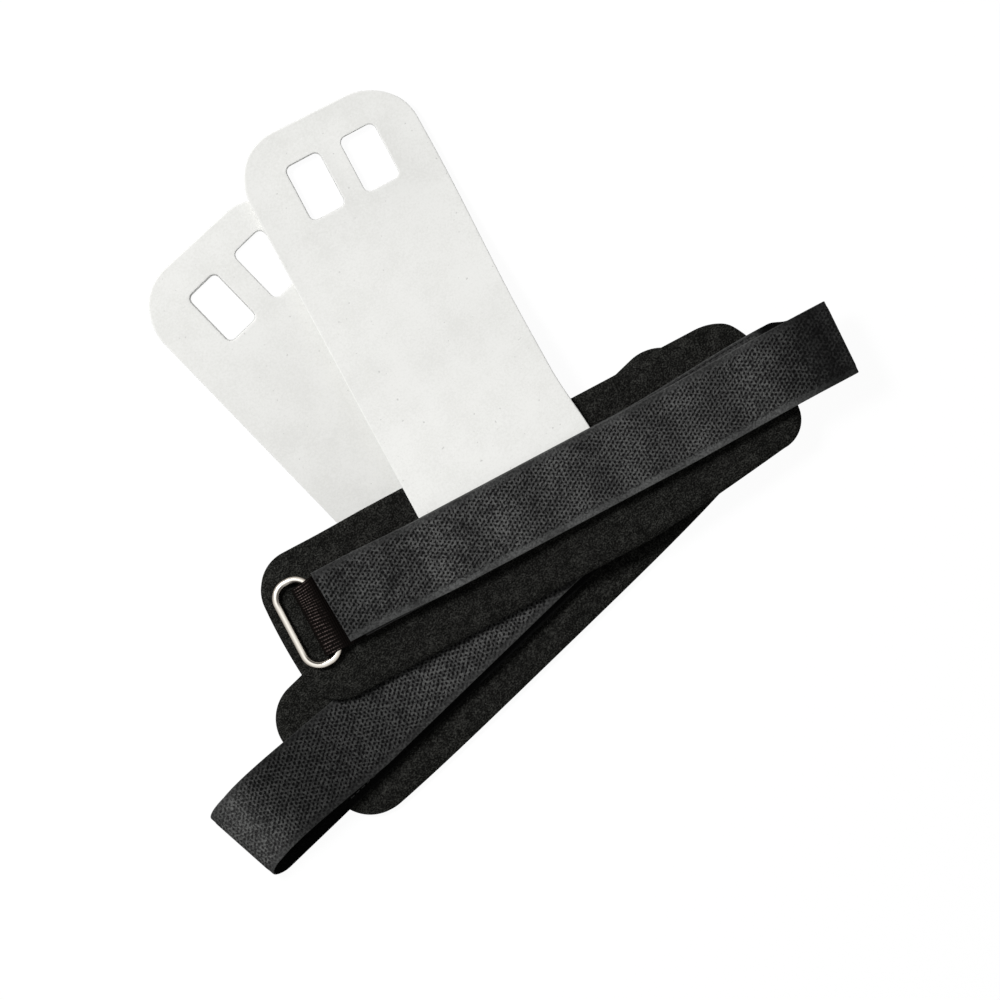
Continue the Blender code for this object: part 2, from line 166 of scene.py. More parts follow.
# The wrist pads. Each is foam rubber between a knit lining and a knit face with a short black nap, glued
# together and cut by hand to one outline with round corners, pressed thin along the cut. The upper pad's
# wrist edge is drawn in by its strap.
RING_AXIS_X = -0.0873
RING_AXIS_Z = 0.0064
PAD_LENGTH = 0.210
PAD_WIDTH = 0.0605
PAD_TOP = 0.0039
PAD_RING_END_R = {"lower": 0.0170, "upper": 0.0145}
PAD_FINGER_FOLD_R = {"lower": 0.0160, "upper": 0.0210}
PAD_WRIST_FOLD_R = {"lower": 0.0160, "upper": 0.0120}
PAD_DRAW = {"lower": 0.0, "upper": 0.0069}
PAD_DRAW_LENGTH = 0.060
RING_END_BOW = {"lower": 0.0, "upper": 0.0009}
RING_END_BOW_MIDDLE, RING_END_BOW_REACH = 0.004, 0.020
RING_END_SLIM = {"lower": 0.0008, "upper": 0.0005}
RING_END_SLIM_FROM, RING_END_SLIM_TO = -0.050, -0.080
FOLD_END_FULL = {"lower": 0.0, "upper": 0.0010}
FOLD_END_FULL_FROM, FOLD_END_FULL_TO = 0.048, 0.070
FOLD_END_SLANT = {"lower": 0.0, "upper": 0.0024}
FOLD_END_SLANT_FROM, FOLD_END_SLANT_TO = 0.094, 0.104
WRIST_BOW = {"lower": 0.0006, "upper": 0.0}
WRIST_BOW_MIDDLE, WRIST_BOW_REACH = 0.008, 0.085
SIDE_FADE = 0.015
PAD_EDGE_FALL = 0.0014
PAD_EDGE_STEPS = 420
LINING_TOP = 0.0006
FACE_BOTTOM = 0.0033
NAP_DARK = (0.0050, 0.0050, 0.0045, 1)
NAP_LIGHT = (0.044, 0.044, 0.040, 1)
LINT = (0.090, 0.090, 0.084, 1)


class Grip:
    """One grip's own frame: x along the strap from ring to fold, y towards the fingers and z up from the
    pad's underside. The places of its two strap joints give the origin and the turn. The hand is 1 for the
    grip whose frame is right-handed and -1 for its mirror image."""

    def __init__(self, name):
        places = {joint["name"]: joint.get("pos_m") for joint in frame["joints"]}
        ring = np.array(places[f"{name}_ring_pivot"])
        fold = np.array(places[f"{name}_strap_open"])
        run = (fold - ring)[:2]
        length = np.hypot(*run)
        self.name = name
        self.along = np.array([*run / length, 0.0])
        self.hand = np.sign(self.along[0])
        self.across = self.hand * np.array([-self.along[1], self.along[0], 0.0])
        self.origin = ring - RING_AXIS_X * self.along - (0, 0, RING_AXIS_Z)
        self.fold_x = RING_AXIS_X + length
        self.fold_z = fold[2] - self.origin[2]

    def place(self, points):
        """Points of the grip's frame in the frame of the pair."""
        points = np.asarray(points)
        flat = points[..., :1] * self.along + points[..., 1:2] * self.across
        return self.origin + flat + points[..., 2:] * np.array([0.0, 0.0, 1.0])


def smooth(share):
    """0 up to 0, 1 from 1, and a smooth step between."""
    share = np.clip(share, 0, 1)
    return share * share * (3 - 2 * share)


def ease(value, low, high):
    """A smooth step from 0 at the value low to 1 at the value high."""
    return smooth((value - low) / (high - low))


def arc(centre, radius, start, end, steps=24):
    """Points of an arc between two angles in degrees."""
    angle = np.radians(np.linspace(start, end, steps))
    return np.column_stack([centre[0] + radius * np.cos(angle), centre[1] + radius * np.sin(angle)])


def evenly(path, count, closed=False):
    """Points at equal distances along a path."""
    if closed:
        path = np.vstack([path, path[:1]])
    run = np.append(0, np.cumsum(np.linalg.norm(np.diff(path, axis=0), axis=1)))
    places = np.linspace(0, run[-1], count, endpoint=not closed)
    return np.column_stack([np.interp(places, run, path[:, axis]) for axis in range(path.shape[1])])


def tube_faces(count, rows, columns):
    """Quads round each of count tubes of rows x columns points, and a polygon on each tube's two ends."""
    row = np.arange(rows - 1)[:, None]
    column = np.arange(columns)
    here = row * columns + column
    beside = row * columns + (column + 1) % columns
    quads = np.stack([here, beside, beside + columns, here + columns], axis=-1).reshape(-1, 4)
    ends = np.stack([np.arange(columns)[::-1], (rows - 1) * columns + np.arange(columns)])
    first = (np.arange(count) * rows * columns)[:, None, None]
    sides = (first + quads).reshape(-1, 4).tolist()
    return sides + (first + ends).reshape(-1, columns).tolist()


def add_piece(name, points, faces, finishes, finish_of=None, **marks):
    """An object with its place in its mesh. finish_of numbers each face's finish, and each mark is an array
    of one vector per point, for the material."""
    mesh = bpy.data.meshes.new(name)
    mesh.from_pydata(points.reshape(-1, 3).tolist(), [], faces)
    if finish_of is not None:
        mesh.polygons.foreach_set("material_index", finish_of)
    for mark, vectors in marks.items():
        attribute = mesh.attributes.new(mark, "FLOAT_VECTOR", "POINT")
        attribute.data.foreach_set("vector", vectors.astype(np.float32).ravel())
    work = bmesh.new()
    work.from_mesh(mesh)
    bmesh.ops.remove_doubles(work, verts=work.verts, dist=1e-7)
    bmesh.ops.recalc_face_normals(work, faces=work.faces)
    work.to_mesh(mesh)
    work.free()
    mesh.polygons.foreach_set("use_smooth", np.ones(len(mesh.polygons), bool))
    for finish in finishes:
        mesh.materials.append(finish)
    return add_object(name, mesh)


def new_finish(name):
    """A material, its shader node and a value to start its nodes from."""
    material = bpy.data.materials.new(name)
    material.use_nodes = True
    return material, material.node_tree.nodes["Principled BSDF"], Value(material.node_tree)


def place_on_object(values):
    return values.node("ShaderNodeTexCoord", output="Object")


def noise(place, size, detail=2.0, roughness=0.5):
    """Cloudy noise round 0.5, with clouds of about that size in metres."""
    sockets = {"Vector": place, "Scale": 1 / size, "Detail": detail, "Roughness": roughness}
    return place.node("ShaderNodeTexNoise", (), sockets)


def soft_step(value, low, high):
    """0 where the value is below low, 1 above high and smooth between."""
    return value.node("ShaderNodeMapRange", {"interpolation_type": "SMOOTHSTEP"}, {0: value, 1: low, 2: high})


def mix(share, first, second):
    """The first colour where the share is 0 and the second where it is 1."""
    return share.node("ShaderNodeMix", {"data_type": "RGBA"}, {0: share, 6: first, 7: second}, output=2)


def bump(height, depth):
    """A normal from a height of 0 to 1, that deep in metres."""
    return height.node("ShaderNodeBump", (), {"Strength": 1.0, "Distance": depth, "Height": height})


def pad_outline(grip):
    """Sides, arcs at the corners and a slow curve in the wrist side where it is drawn in. The cut wanders a
    little: the ring end and the wrist side bow out, the fold end slants, and the finger side is slim at one
    end and full at the other."""
    half_x, half_y = PAD_LENGTH / 2, PAD_WIDTH / 2
    ring_r = PAD_RING_END_R[grip.name]
    finger_r, wrist_r = PAD_FINGER_FOLD_R[grip.name], PAD_WRIST_FOLD_R[grip.name]
    draw = PAD_DRAW[grip.name]
    share = np.linspace(0, 1, 30)
    drawn_x = half_x - wrist_r - PAD_DRAW_LENGTH * (1 - share)
    outline = [
        np.column_stack([drawn_x, draw * share**1.15 - half_y]),
        arc((half_x - wrist_r, wrist_r + draw - half_y), wrist_r, -90, 0),
        arc((half_x - finger_r, half_y - finger_r), finger_r, 0, 90),
        arc((ring_r - half_x, half_y - ring_r), ring_r, 90, 180),
        arc((ring_r - half_x, ring_r - half_y), ring_r, 180, 270),
    ]
    x, y = evenly(np.vstack(outline), PAD_EDGE_STEPS, closed=True).T
    finger, wrist = smooth(y / SIDE_FADE), smooth(-y / SIDE_FADE)
    slim = RING_END_SLIM[grip.name] * ease(x, RING_END_SLIM_FROM, RING_END_SLIM_TO)
    full = FOLD_END_FULL[grip.name] * ease(x, FOLD_END_FULL_FROM, FOLD_END_FULL_TO)
    slant = FOLD_END_SLANT[grip.name] * finger * ease(x, FOLD_END_SLANT_FROM, FOLD_END_SLANT_TO)
    from_middle = (x - WRIST_BOW_MIDDLE) / WRIST_BOW_REACH
    wrist_bow = WRIST_BOW[grip.name] * (1 - 2 * from_middle**4).clip(-1)
    from_middle = (y - RING_END_BOW_MIDDLE) / RING_END_BOW_REACH
    ring_bow = RING_END_BOW[grip.name] * ease(x, -0.9 * half_x, -half_x) * (1 - from_middle**2).clip(0)
    return np.column_stack([x - ring_bow - slant, y + finger * (full - slim) - wrist * wrist_bow])


def pad_layer(grip, low, high, round_edge, low_fall, high_fall):
    """The outline drawn towards the pad's middle line: out along the underside, round an edge that is half an
    ellipse, and back along the top. Both faces fall in a high power of the way out, so only near the edge."""
    outline = pad_outline(grip)
    spine = (PAD_LENGTH - PAD_WIDTH) / 2
    middle = np.column_stack([np.clip(outline[:, 0], -spine, spine), np.zeros(len(outline))])
    reach = outline - middle
    out = 1 - 0.98 * np.linspace(1, 0, 34) ** 1.6
    turn = np.radians(np.linspace(-90, 90, 11))[1:-1]
    share = np.concatenate([out, np.ones_like(turn), out[::-1]])[:, None]
    inset = round_edge * np.concatenate([np.ones_like(out), 1 - np.cos(turn), np.ones_like(out)])[:, None]
    height = np.concatenate([np.zeros_like(out), (1 + np.sin(turn)) / 2, np.ones_like(out)])[:, None]
    share = share * (1 - inset / np.linalg.norm(reach, axis=1))
    flat = middle + share[..., None] * reach
    z = low + height * (high - low) - (low_fall + height * (high_fall - low_fall)) * share**24
    points = np.dstack([flat, z])
    return grip.place(points), tube_faces(1, *points.shape[:2])


def napped_knit():
    """Short black pile: fine dark and light tufts in soft clouds, with a few grey specks of lint."""
    finish, shader, values = new_finish("napped_knit")
    place = place_on_object(values)
    tufts = noise(place, 0.0006, 2.0, 0.6)
    clouds = noise(place, 0.004, 3.0)
    pile = soft_step(tufts + 0.30 * (clouds - 0.5), 0.36, 0.70)
    lint = soft_step(noise(place, 0.0011, 1.0), 0.755, 0.80)
    colour = mix(lint, mix(pile, NAP_DARK, NAP_LIGHT), LINT)
    normal = bump(pile, 0.0004)
    feed(shader, {"Base Color": colour, "Roughness": 0.95, "Specular IOR Level": 0.02, "Normal": normal})
    return finish


def cut_foam():
    """Black foam rubber with fine closed cells on its cut edge."""
    finish, shader, values = new_finish("cut_foam")
    cells = noise(place_on_object(values), 0.0006, 2.0)
    colour = mix(soft_step(cells, 0.35, 0.70), (0.010, 0.010, 0.010, 1), (0.030, 0.030, 0.029, 1))
    normal = bump(cells, 0.0003)
    feed(shader, {"Base Color": colour, "Roughness": 0.9, "Specular IOR Level": 0.15, "Normal": normal})
    return finish


def lining_knit():
    """Smooth black knit: fine wales side by side, a little uneven."""
    finish, shader, values = new_finish("lining_knit")
    place = place_on_object(values)
    spacing = {"Vector": place, "Scale": 420, "Distortion": 1.5}
    wales = values.node("ShaderNodeTexWave", {"bands_direction": "Y"}, spacing)
    colour = mix(wales * noise(place, 0.002), (0.008, 0.008, 0.008, 1), (0.024, 0.024, 0.023, 1))
    normal = bump(wales, 0.0002)
    feed(shader, {"Base Color": colour, "Roughness": 0.85, "Specular IOR Level": 0.15, "Normal": normal})
    return finish


GRIPS = [Grip("lower"), Grip("upper")]
KNIT, FOAM, LINING = napped_knit(), cut_foam(), lining_knit()
for grip in GRIPS:
    body = f"{grip.name}_grip"

    lining = add_piece(f"{grip.name}_lining", *pad_layer(grip, 0.0, LINING_TOP, 0.0003, 0.0, 0.0), [LINING])
    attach(lining, body)
    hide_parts(f"{grip.name}_pad_lining")

    between = pad_layer(grip, LINING_TOP, FACE_BOTTOM, 0.0004, 0.0, PAD_EDGE_FALL)
    foam = add_piece(f"{grip.name}_foam", *between, [FOAM])
    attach(foam, body)
    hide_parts(f"{grip.name}_pad_core")

    above = pad_layer(grip, FACE_BOTTOM, PAD_TOP, 0.0005, PAD_EDGE_FALL, PAD_EDGE_FALL)
    knit = add_piece(f"{grip.name}_knit", *above, [KNIT])
    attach(knit, body)
    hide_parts(f"{grip.name}_pad_face")


# The palms. Each is one piece of white suede, knife-cut with two finger holes, tucked under the strap and
# sewn there. It bends down from the pad's edge to the table, or for the upper one to the lower palm.
LEATHER_T = 0.0018
LEATHER_BASE = PAD_TOP + 0.00025
LEATHER_WRIST_W = 0.0725
LEATHER_FINGER_W = 0.0707
LEATHER_CORNER_R = 0.020
LEATHER_TUCK = 0.0110
LEATHER_SHIFT = -0.0030
LEATHER_REACH = {"lower": 0.1747, "upper": 0.1700}
LEATHER_LEAN = {"lower": 0.0009, "upper": -0.0022}
LEATHER_SLOPE = {"lower": 0.025, "upper": -0.022}
LEATHER_WAIST = {"lower": 0.0, "upper": 0.0022}
LEATHER_WAIST_FULL = (0.044, 0.060)
LEATHER_WAIST_ENDS = (0.012, 0.140)
LEATHER_REST = {"lower": 0.00025, "upper": -0.00805}
LEATHER_DROP_LENGTH = {"lower": 0.026, "upper": 0.100}
LEATHER_CURL = {"lower": 0.0, "upper": 0.0004}
HOLE_WIDTH = 0.0145
HOLE_LENGTH = {"lower": 0.0236, "upper": 0.0228}
HOLE_CORNER_R = 0.0026
HOLE_SPACING = {"lower": 0.0236, "upper": 0.0230}
HOLE_SHIFT = {"lower": -0.0038, "upper": -0.0041}
HOLE_MARGIN = {"lower": 0.0132, "upper": 0.0135}
HOLE_PULL = 0.006
RING_HOLE_FLARE = {"lower": 0.00012, "upper": 0.00018}
FOLD_HOLE_FLARE = {"lower": 0.00040, "upper": 0.00005}
EDGE_ROUND = 0.0003
SUEDE_PALE = (0.815, 0.815, 0.793, 1)
SUEDE_GREY = (0.752, 0.752, 0.727, 1)
SUEDE_PIT = (0.62, 0.62, 0.60, 1)


def round_hole(x, y, middle_x, middle_y, length):
    """Draws the corners of a square-cut hole in to arcs. A point takes the move of the nearest point on the
    hole's edge, fading out over a short distance."""
    half_x, half_y = HOLE_WIDTH / 2, length / 2
    from_x, from_y = x - middle_x, y - middle_y
    near_x = np.clip(np.abs(from_x), 0, half_x) - (half_x - HOLE_CORNER_R)
    near_y = np.clip(np.abs(from_y), 0, half_y) - (half_y - HOLE_CORNER_R)
    distance = np.maximum(np.abs(from_x) - half_x, np.abs(from_y) - half_y)
    in_corner = (near_x > 0) & (near_y > 0)
    drawn = HOLE_CORNER_R / np.maximum(np.hypot(near_x, near_y), HOLE_CORNER_R) - 1
    fade = in_corner * smooth(1 - np.abs(distance) / HOLE_PULL) * drawn
    return x + fade * near_x * np.sign(from_x), y + fade * near_y * np.sign(from_y)


def palm_cut(grip):
    """The flat cut on a grid whose lines follow the sides and the hole edges, with a slight waist on the fold
    side. The finger corners are squares drawn in to quarter circles. Returns points, the quads outside the
    holes and the quads' sides on an edge."""
    reach = LEATHER_REACH[grip.name]
    hole_length, hole_margin = HOLE_LENGTH[grip.name], HOLE_MARGIN[grip.name]
    hole_top = reach - hole_margin
    hole_low = hole_top - hole_length
    corner_y = reach - LEATHER_CORNER_R
    spans = [(-LEATHER_TUCK, hole_low, 130), (hole_low, hole_top, 30), (hole_top, reach, 18)]
    rows = np.concatenate([np.linspace(low, high, steps, endpoint=False) for low, high, steps in spans])
    rows = np.append(rows, reach)
    share = np.clip(rows, 0, None) / reach
    half = np.interp(rows, [-LEATHER_TUCK, corner_y], [LEATHER_WRIST_W / 2, LEATHER_FINGER_W / 2])
    centre = LEATHER_SHIFT + LEATHER_LEAN[grip.name] * share

    hole_middles = HOLE_SHIFT[grip.name] + np.array([-0.5, 0.5]) * HOLE_SPACING[grip.name]
    hole_sides = np.add.outer(hole_middles, np.array([-0.5, 0.5]) * HOLE_WIDTH).ravel()
    narrowing, widening = (ease(rows, *ends) for ends in zip(LEATHER_WAIST_ENDS, LEATHER_WAIST_FULL))
    waist = LEATHER_WAIST[grip.name] * narrowing * widening
    lines = np.column_stack([centre - half, np.tile(hole_sides, (len(rows), 1)), centre + half - waist])
    steps = (18, 20, 13, 20, 18)
    column = np.concatenate([np.linspace(k, k + 1, n, endpoint=False) for k, n in enumerate(steps)])
    column = np.append(column, len(steps))
    line = np.minimum(column.astype(int), len(steps) - 1)
    x = lines[:, line] + (column - line) * (lines[:, line + 1] - lines[:, line])
    y = np.repeat(rows[:, None], len(column), axis=1)

    from_middle = x - centre[:, None]
    side = np.clip((np.abs(from_middle) - (half[:, None] - LEATHER_CORNER_R)) / LEATHER_CORNER_R, 0, 1)
    rise = np.clip((y - corner_y) / LEATHER_CORNER_R, 0, 1)
    outer = np.maximum(side, rise)
    drawn = (outer / np.maximum(np.hypot(side, rise), 1e-9) - 1) * smooth((outer - 0.4) / 0.6)
    drawn = np.where((side > 0) & (rise > 0), drawn, 0)
    x = x + drawn * side * LEATHER_CORNER_R * np.sign(from_middle)
    y = y + drawn * rise * LEATHER_CORNER_R
    y = y + LEATHER_SLOPE[grip.name] * from_middle * share[:, None] * smooth((y - hole_top) / hole_margin)
    for middle in hole_middles:
        x, y = round_hole(x, y, middle, (hole_low + hole_top) / 2, hole_length)

    count = len(column)
    first = np.arange(len(rows) - 1)[:, None] * count + np.arange(count - 1)
    in_rows = (rows[:-1] > hole_low - 1e-9) & (rows[:-1] < hole_top - 1e-9)
    in_columns = (line[:-1] == 1) | (line[:-1] == 3)
    kept = first[~(in_rows[:, None] & in_columns)]
    quads = np.column_stack([kept, kept + 1, kept + count + 1, kept + count])
    used, quads = np.unique(quads, return_inverse=True)
    quads = quads.reshape(-1, 4)
    flat = np.column_stack([x.ravel(), y.ravel()])[used]

    sides = np.stack([quads, np.roll(quads, -1, axis=1)], axis=-1).reshape(-1, 2)
    _, first, uses = np.unique(np.sort(sides, axis=1), axis=0, return_index=True, return_counts=True)
    return flat, quads, sides[first[uses == 1]]


def palm_height(grip, flat, edge):
    """The middle of the sheet: over the pad, then down a smooth step to what it rests on, with a faint roll
    and its free edges curled up a little."""
    x, y = flat.T
    start = PAD_WIDTH / 2 + 0.00025
    drop = LEATHER_BASE - LEATHER_REST[grip.name]
    free = smooth((y - start) / 0.040)
    curl = LEATHER_CURL[grip.name] * np.exp(-edge / 0.006)
    roll = 0.00008 * (np.sin(x / 0.011 + 1.3) * np.sin(y / 0.017) + 1)
    rest = LEATHER_BASE + LEATHER_T / 2 - drop * smooth((y - start) / LEATHER_DROP_LENGTH[grip.name])
    return rest + free * (curl + roll)


def palm_sheet(grip, flat, quads, sides):
    """Top and underside of the cut, and a rim between them. Each rim point goes out along the edge's normal
    and down, round at the top, and a hole's wall leans in below. Returns points, faces and which of them are
    rim."""
    step = flat[sides[:, 1]] - flat[sides[:, 0]]
    normal = np.column_stack([step[:, 1], -step[:, 0]]) / np.linalg.norm(step, axis=1)[:, None]
    rim, sides = np.unique(sides, return_inverse=True)
    sides = sides.reshape(-1, 2)
    out = np.zeros((len(rim), 2))
    np.add.at(out, sides[:, 0], normal)
    np.add.at(out, sides[:, 1], normal)
    out /= np.linalg.norm(out, axis=1)[:, None]
    edge = np.min(np.linalg.norm(flat[:, None] - flat[rim], axis=2), axis=1)

    half = HOLE_LENGTH[grip.name] / 2
    from_x = flat[rim, 0] - HOLE_SHIFT[grip.name]
    from_y = flat[rim, 1] - LEATHER_REACH[grip.name] + HOLE_MARGIN[grip.name] + half
    half_x = (HOLE_SPACING[grip.name] + HOLE_WIDTH) / 2
    past_holes = np.maximum(np.abs(from_x) - half_x, np.abs(from_y) - half)
    leans = np.where(from_x > 0, FOLD_HOLE_FLARE[grip.name], RING_HOLE_FLARE[grip.name])
    flare = np.where(past_holes < EDGE_ROUND, leans, 0.0)
    outs = np.stack([np.full(len(rim), -EDGE_ROUND), np.full(len(rim), -0.3 * EDGE_ROUND), 0 * flare, flare])
    rings = flat[rim] + outs[..., None] * out
    top, underside = flat.copy(), flat.copy()
    top[rim], underside[rim] = rings[0], rings[3]

    rise = LEATHER_T / 2
    layers = (
        (top, edge, rise),
        (underside, edge, -rise),
        (rings[1], edge[rim], rise - 0.3 * EDGE_ROUND),
        (rings[2], edge[rim], rise - EDGE_ROUND),
    )
    points = [np.column_stack([at, palm_height(grip, at, near) + up]) for at, near, up in layers]
    count = len(flat)
    wall_point = 2 * count + np.arange(len(rim))
    chain = np.stack([rim, wall_point, wall_point + len(rim), rim + count])
    one, other = chain[:, sides[:, 0]], chain[:, sides[:, 1]]
    wall = np.stack([one[:-1], other[:-1], other[1:], one[1:]], axis=-1).reshape(-1, 4)
    faces = np.vstack([quads, quads[:, ::-1] + count, wall])
    points = np.vstack(points)
    return points, faces.tolist(), np.arange(len(faces)) >= 2 * len(quads)


def split(vector):
    """The three parts of a vector."""
    return [vector.node("ShaderNodeSeparateXYZ", (), {0: vector}, output=axis) for axis in range(3)]


def scale(colour, share):
    """The colour times the share."""
    return colour.node("ShaderNodeVectorMath", {"operation": "SCALE"}, {0: colour, "Scale": share})


def white_suede():
    """Pale suede: a fine short nap, soft faint clouds and a few small pores, cleanest beside the strap. The
    mark is the place on the flat cut."""
    finish, shader, values = new_finish("white_suede")
    place = place_on_object(values)
    cut = values.node("ShaderNodeAttribute", {"attribute_name": "cut"}, output="Vector")
    handled = soft_step(split(cut)[1], 0.018, 0.075)
    nap = noise(place, 0.0008, 3.0, 0.65)
    clouds = noise(place, 0.013, 3.0)
    pores = soft_step(noise(place, 0.0012, 0.0), 0.815, 0.87)
    grey = soft_step(0.6 * nap + 0.4 * clouds, 0.38, 0.66)
    colour = mix(pores, mix(grey, SUEDE_PALE, SUEDE_GREY), SUEDE_PIT)
    colour = scale(colour, 1.15 - 0.15 * handled)
    relief = 0.7 * nap + 0.3 * noise(place, 0.0025, 2.0) - 0.6 * pores
    normal = bump(relief, 0.00007)
    feed(shader, {"Base Color": colour, "Roughness": 0.95, "Specular IOR Level": 0.1, "Normal": normal})
    return finish


def raw_edge():
    """The cut side of the suede: loose pale fibres in thin layers."""
    finish, shader, values = new_finish("raw_edge")
    place = place_on_object(values)
    fibres = noise(place, 0.0005, 3.0, 0.7)
    colour = mix(soft_step(fibres, 0.3, 0.75), (0.80, 0.80, 0.78, 1), (0.92, 0.92, 0.90, 1))
    normal = bump(fibres, 0.0002)
    feed(shader, {"Base Color": colour, "Roughness": 1.0, "Specular IOR Level": 0.05, "Normal": normal})
    return finish


SUEDE = [white_suede(), raw_edge()]
for grip in GRIPS:
    flat, quads, sides = palm_cut(grip)
    points, faces, is_rim = palm_sheet(grip, flat, quads, sides)
    marks = {"finish_of": is_rim.astype(np.int32), "cut": points}
    palm = add_piece(f"{grip.name}_palm", grip.place(points), faces, SUEDE, **marks)
    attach(palm, f"{grip.name}_grip")
    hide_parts(f"{grip.name}_palm_leather")


# The ring keepers. Each is ribbed webbing folded in two in a loose loop round one leg of the ring, a little
# gathered and askew at the fold and closed behind the wire by a zigzag tack of black thread. The loop turns
# with the ring.
KEEPER_T = 0.0008
KEEPER_WIDTH = 0.030
KEEPER_GATHERED = 0.0282
KEEPER_LEAN = 0.0006
KEEPER_BUNCH = 0.0020
KEEPER_RUN = 0.026
KEEPER_CLOSE = 0.007
KEEPER_LOOP = 0.0043
KEEPER_HINGE = 0.003
KEEPER_BEND_R = 0.00185
KEEPER_LOWER = PAD_TOP + 0.00065
KEEPER_UPPER = KEEPER_LOWER + 0.00105
KEEPER_RIBS = 24
KEEPER_WORN = (-0.0062, 0.0022)
RING_SHIFT = {"lower": -0.0022, "upper": 0.0026}
WIRE_D = 0.0028
TACK_X = RING_AXIS_X + 0.009
TACK_STEP = 0.0022
TACK_SWING = 0.0016
THREAD_D = 0.0005


def band(path, width, section, thickness):
    """A tape along a path of middle points: at each one the section, given as shares of the width and of half
    the thickness, is laid off sideways and along the path's normal, and its ends are rounded. Returns points
    and for each point its place on the tape."""
    run = np.append(0, np.cumsum(np.linalg.norm(np.diff(path, axis=0), axis=1)))
    ahead = np.gradient(path[:, [0, 2]], axis=0)
    ahead /= np.linalg.norm(ahead, axis=1)[:, None]
    normal = np.column_stack([-ahead[:, 1], np.zeros(len(path)), ahead[:, 0]])
    from_end = np.minimum(run, run[-1] - run) / (thickness / 2)
    full = np.sqrt(np.clip(1 - (1 - np.clip(from_end, 0.05, 1)) ** 2, 0, 1))
    sideways = np.multiply.outer(width, section[:, 0])
    rise = np.multiply.outer(full * thickness / 2, section[:, 1])
    aside = sideways[..., None] * np.array([0.0, 1.0, 0.0])
    points = path[:, None] + aside + rise[..., None] * normal[:, None]
    tape = np.dstack([np.broadcast_to(run[:, None], sideways.shape), sideways, np.zeros_like(sideways)])
    return points, tape


def with_fine_ends(path, count, step=0.0001):
    """The path at even steps, with a few close ones at its ends for rounding them."""
    path = evenly(path, count)
    run = np.append(0, np.cumsum(np.linalg.norm(np.diff(path, axis=0), axis=1)))
    close = step * np.arange(1, 6)
    places = np.sort(np.concatenate([run, close, run[-1] - close]))
    return np.column_stack([np.interp(places, run, path[:, axis]) for axis in range(3)])


def two_faces(across, height):
    """A closed section: up one face and back down the other, height above and below the middle."""
    upper = np.column_stack([across, height])
    lower = np.column_stack([across[1:-1], -height[1:-1]])[::-1]
    return np.vstack([upper, lower])


def keeper_path(grip):
    """Lower ply, half a turn some way past the wire, and the upper ply that closes down behind the wire."""
    top = RING_AXIS_Z + KEEPER_BEND_R
    end = RING_AXIS_X + KEEPER_RUN
    turn = arc((RING_AXIS_X - KEEPER_LOOP, RING_AXIS_Z), KEEPER_BEND_R, 270, 90)
    share = np.linspace(0, 1, 20)
    down = top - (top - KEEPER_UPPER) * smooth(share)
    closing = np.column_stack([RING_AXIS_X + KEEPER_CLOSE * share, down])
    path = np.vstack([[(end, KEEPER_LOWER)], turn, closing, [(end, KEEPER_UPPER)]])
    return np.column_stack([path[:, 0], np.full(len(path), RING_SHIFT[grip.name]), path[:, 1]])


def keeper_webbing(grip):
    """The path with a section of round ribs, drawn in and leaning to the wrist towards the fold, where the
    middle ribs are pushed to the fingers."""
    path = with_fine_ends(keeper_path(grip), 160)
    fold_x = RING_AXIS_X - KEEPER_LOOP - KEEPER_BEND_R
    spread = smooth((path[:, 0] - fold_x) / (KEEPER_LOOP + KEEPER_BEND_R + KEEPER_CLOSE))
    width = KEEPER_GATHERED + (KEEPER_WIDTH - KEEPER_GATHERED) * spread
    path[:, 1] -= KEEPER_LEAN * (1 - spread)
    across = np.linspace(-0.5, 0.5, KEEPER_RIBS * 10 + 1)
    ribs = 0.70 + 0.30 * np.abs(np.sin(np.pi * KEEPER_RIBS * (across + 0.5)))
    edge = np.sqrt(1 - np.clip((np.abs(across) - 0.485) / 0.015, 0, 1) ** 2)
    section = two_faces(across, ribs * edge)
    points, tape = band(path, width, section, KEEPER_T)
    points[..., 1] += KEEPER_BUNCH * np.multiply.outer(1 - spread, np.cos(np.pi * section[:, 0]) ** 2)
    tape[..., 1] *= KEEPER_WIDTH / width[:, None]
    x = points[..., 0] - RING_AXIS_X
    tape[..., 2] = smooth((x - KEEPER_WORN[0]) / 0.0020) * smooth((KEEPER_WORN[1] - x) / 0.0060)
    return points, tape


def stitches(start, end, rise, radius):
    """Short threads, each a tube on an arch from its start to its end, thinning to its two holes."""
    share = np.linspace(-1, 1, 7)
    turn = np.radians(np.arange(6) * 60)
    run = end - start
    ahead = run / np.linalg.norm(run, axis=1)[:, None]
    up = np.broadcast_to(np.array([0.0, 0.0, 1.0]), ahead.shape)
    side = np.cross(ahead, up)
    middle = ((start + end) / 2)[:, None] + share[:, None] / 2 * run[:, None]
    middle = middle + (rise * (1 - 1.9 * share**4))[:, None] * up[:, None]
    thick = radius * np.sqrt(1 - 0.75 * share**6)
    ring = np.cos(turn)[:, None] * side[:, None, None] + np.sin(turn)[:, None] * up[:, None, None]
    points = middle[:, :, None] + thick[:, None, None] * ring
    return points, tube_faces(*points.shape[:3])


